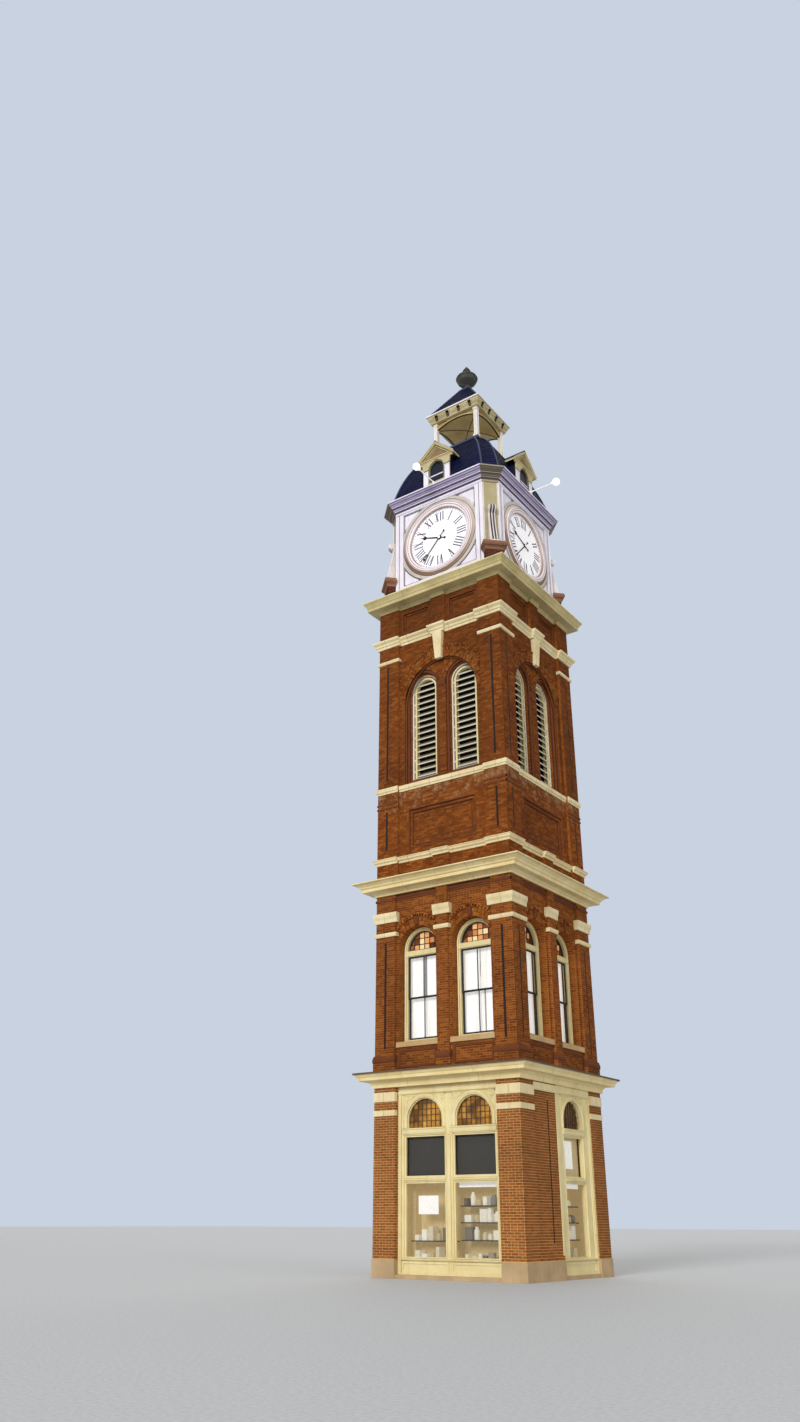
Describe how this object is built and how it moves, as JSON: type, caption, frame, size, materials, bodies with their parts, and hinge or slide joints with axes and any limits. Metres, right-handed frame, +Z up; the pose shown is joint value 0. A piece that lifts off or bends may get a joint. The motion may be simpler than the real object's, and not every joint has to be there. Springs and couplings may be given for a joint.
{
  "type": "clock tower",
  "caption": "Square brick corner tower with shop windows, arched windows, louvred belfry, dials on its sides, slated dome with dormers and open lantern.",
  "frame": {"origin": "on the ground on the tower's axis, at the underside of its ground floor", "axes": "+Z up, the wide shop front faces -Y, the side with the blind brick wall faces +X"},
  "size_m": [7.7596, 7.7596, 34.1],
  "materials": {
    "brick": "hand-made orange-red brick with thin mortar joints",
    "stone": "pale sandstone, tooled",
    "cream_paint": "cream gloss paint on wood and sheet metal",
    "white_paint": "white gloss paint on wood",
    "drum_paint": "off-white painted sheet metal",
    "dial_white": "white opal dial with grey numerals",
    "hand_black": "black paint",
    "cornice_metal": "dark violet-grey painted sheet metal",
    "slate": "dark blue slates with light metal hips",
    "lead": "dark lead sheet",
    "finial_metal": "dark weathered metal",
    "glass": "clear window glass",
    "lamp_metal": "white painted arm with a glowing globe",
    "concrete": "trowelled concrete",
    "boards": "sawn floor boards"
  },
  "bodies": {
    "tower": {"corner_piers": "brick", "upper_wall_front": "brick", "upper_wall_right": "brick", "upper_wall_back": "brick", "upper_wall_left": "brick", "shaft_wall_front": "brick", "shaft_wall_right": "brick", "shaft_wall_back": "brick", "shaft_wall_left": "brick", "corner_pedestals": "brick", "plinth_stones": "stone", "pier_stone_courses": "stone", "shop_kerbs": "stone", "upper_window_sills": "stone", "pilaster_capitals": "stone", "lower_stone_band": "stone", "sill_stone_band": "stone", "upper_stone_band": "stone", "belfry_imposts": "stone", "shopfronts_wide": "cream_paint", "shopfronts_narrow": "cream_paint", "first_cornice": "cream_paint", "main_cornice": "cream_paint", "big_cornice": "cream_paint", "upper_window_frames": "cream_paint", "belfry_louvres": "cream_paint", "dormers": "cream_paint", "lantern_posts": "cream_paint", "lantern_arches": "cream_paint", "lantern_cornice": "cream_paint", "corner_scrolls": "cream_paint", "clock_corner_panels": "cream_paint", "clock_walls": "white_paint", "dial_drums": "drum_paint", "clock_dials": "dial_white", "clock_cornice": "cornice_metal", "dome": "slate", "lantern_roof": "slate", "lantern_floor": "lead", "urn_finial": "finial_metal", "shop_glass": "glass", "upper_glass": "glass", "floodlights": "lamp_metal", "ground_floor": "concrete", "upper_floor": "boards", "belfry_floor": "boards", "clock_floor": "boards"},
    "minute_hand_front": {"minute_hand_front": "hand_black"},
    "minute_hand_right": {"minute_hand_right": "hand_black"},
    "minute_hand_back": {"minute_hand_back": "hand_black"},
    "minute_hand_left": {"minute_hand_left": "hand_black"},
    "hour_hand_front": {"hour_hand_front": "hand_black"},
    "hour_hand_right": {"hour_hand_right": "hand_black"},
    "hour_hand_back": {"hour_hand_back": "hand_black"},
    "hour_hand_left": {"hour_hand_left": "hand_black"}
  },
  "joints": [
    {"name": "minute_turn_front", "type": "hinge", "parent": "tower", "child": "minute_hand_front", "pos_m": [0, -2.304, 24.13], "axis": [0, 1, 0], "continuous": true},
    {"name": "minute_turn_right", "type": "hinge", "parent": "tower", "child": "minute_hand_right", "pos_m": [2.304, 0, 24.13], "axis": [-1, 0, 0], "continuous": true},
    {"name": "minute_turn_back", "type": "hinge", "parent": "tower", "child": "minute_hand_back", "pos_m": [0, 2.304, 24.13], "axis": [0, -1, 0], "continuous": true},
    {"name": "minute_turn_left", "type": "hinge", "parent": "tower", "child": "minute_hand_left", "pos_m": [-2.304, 0, 24.13], "axis": [1, 0, 0], "continuous": true},
    {"name": "hour_turn_front", "type": "hinge", "parent": "tower", "child": "hour_hand_front", "pos_m": [0, -2.304, 24.13], "axis": [0, 1, 0], "continuous": true},
    {"name": "hour_turn_right", "type": "hinge", "parent": "tower", "child": "hour_hand_right", "pos_m": [2.304, 0, 24.13], "axis": [-1, 0, 0], "continuous": true},
    {"name": "hour_turn_back", "type": "hinge", "parent": "tower", "child": "hour_hand_back", "pos_m": [0, 2.304, 24.13], "axis": [0, -1, 0], "continuous": true},
    {"name": "hour_turn_left", "type": "hinge", "parent": "tower", "child": "hour_hand_left", "pos_m": [-2.304, 0, 24.13], "axis": [1, 0, 0], "continuous": true}
  ],
  "couplings": [
    {"joint": "minute_turn_right", "follows": "minute_turn_front", "ratio": 1},
    {"joint": "minute_turn_back", "follows": "minute_turn_front", "ratio": 1},
    {"joint": "minute_turn_left", "follows": "minute_turn_front", "ratio": 1},
    {"joint": "hour_turn_front", "follows": "minute_turn_front", "ratio": 0.083333},
    {"joint": "hour_turn_right", "follows": "minute_turn_front", "ratio": 0.083333},
    {"joint": "hour_turn_back", "follows": "minute_turn_front", "ratio": 0.083333},
    {"joint": "hour_turn_left", "follows": "minute_turn_front", "ratio": 0.083333}
  ]
}
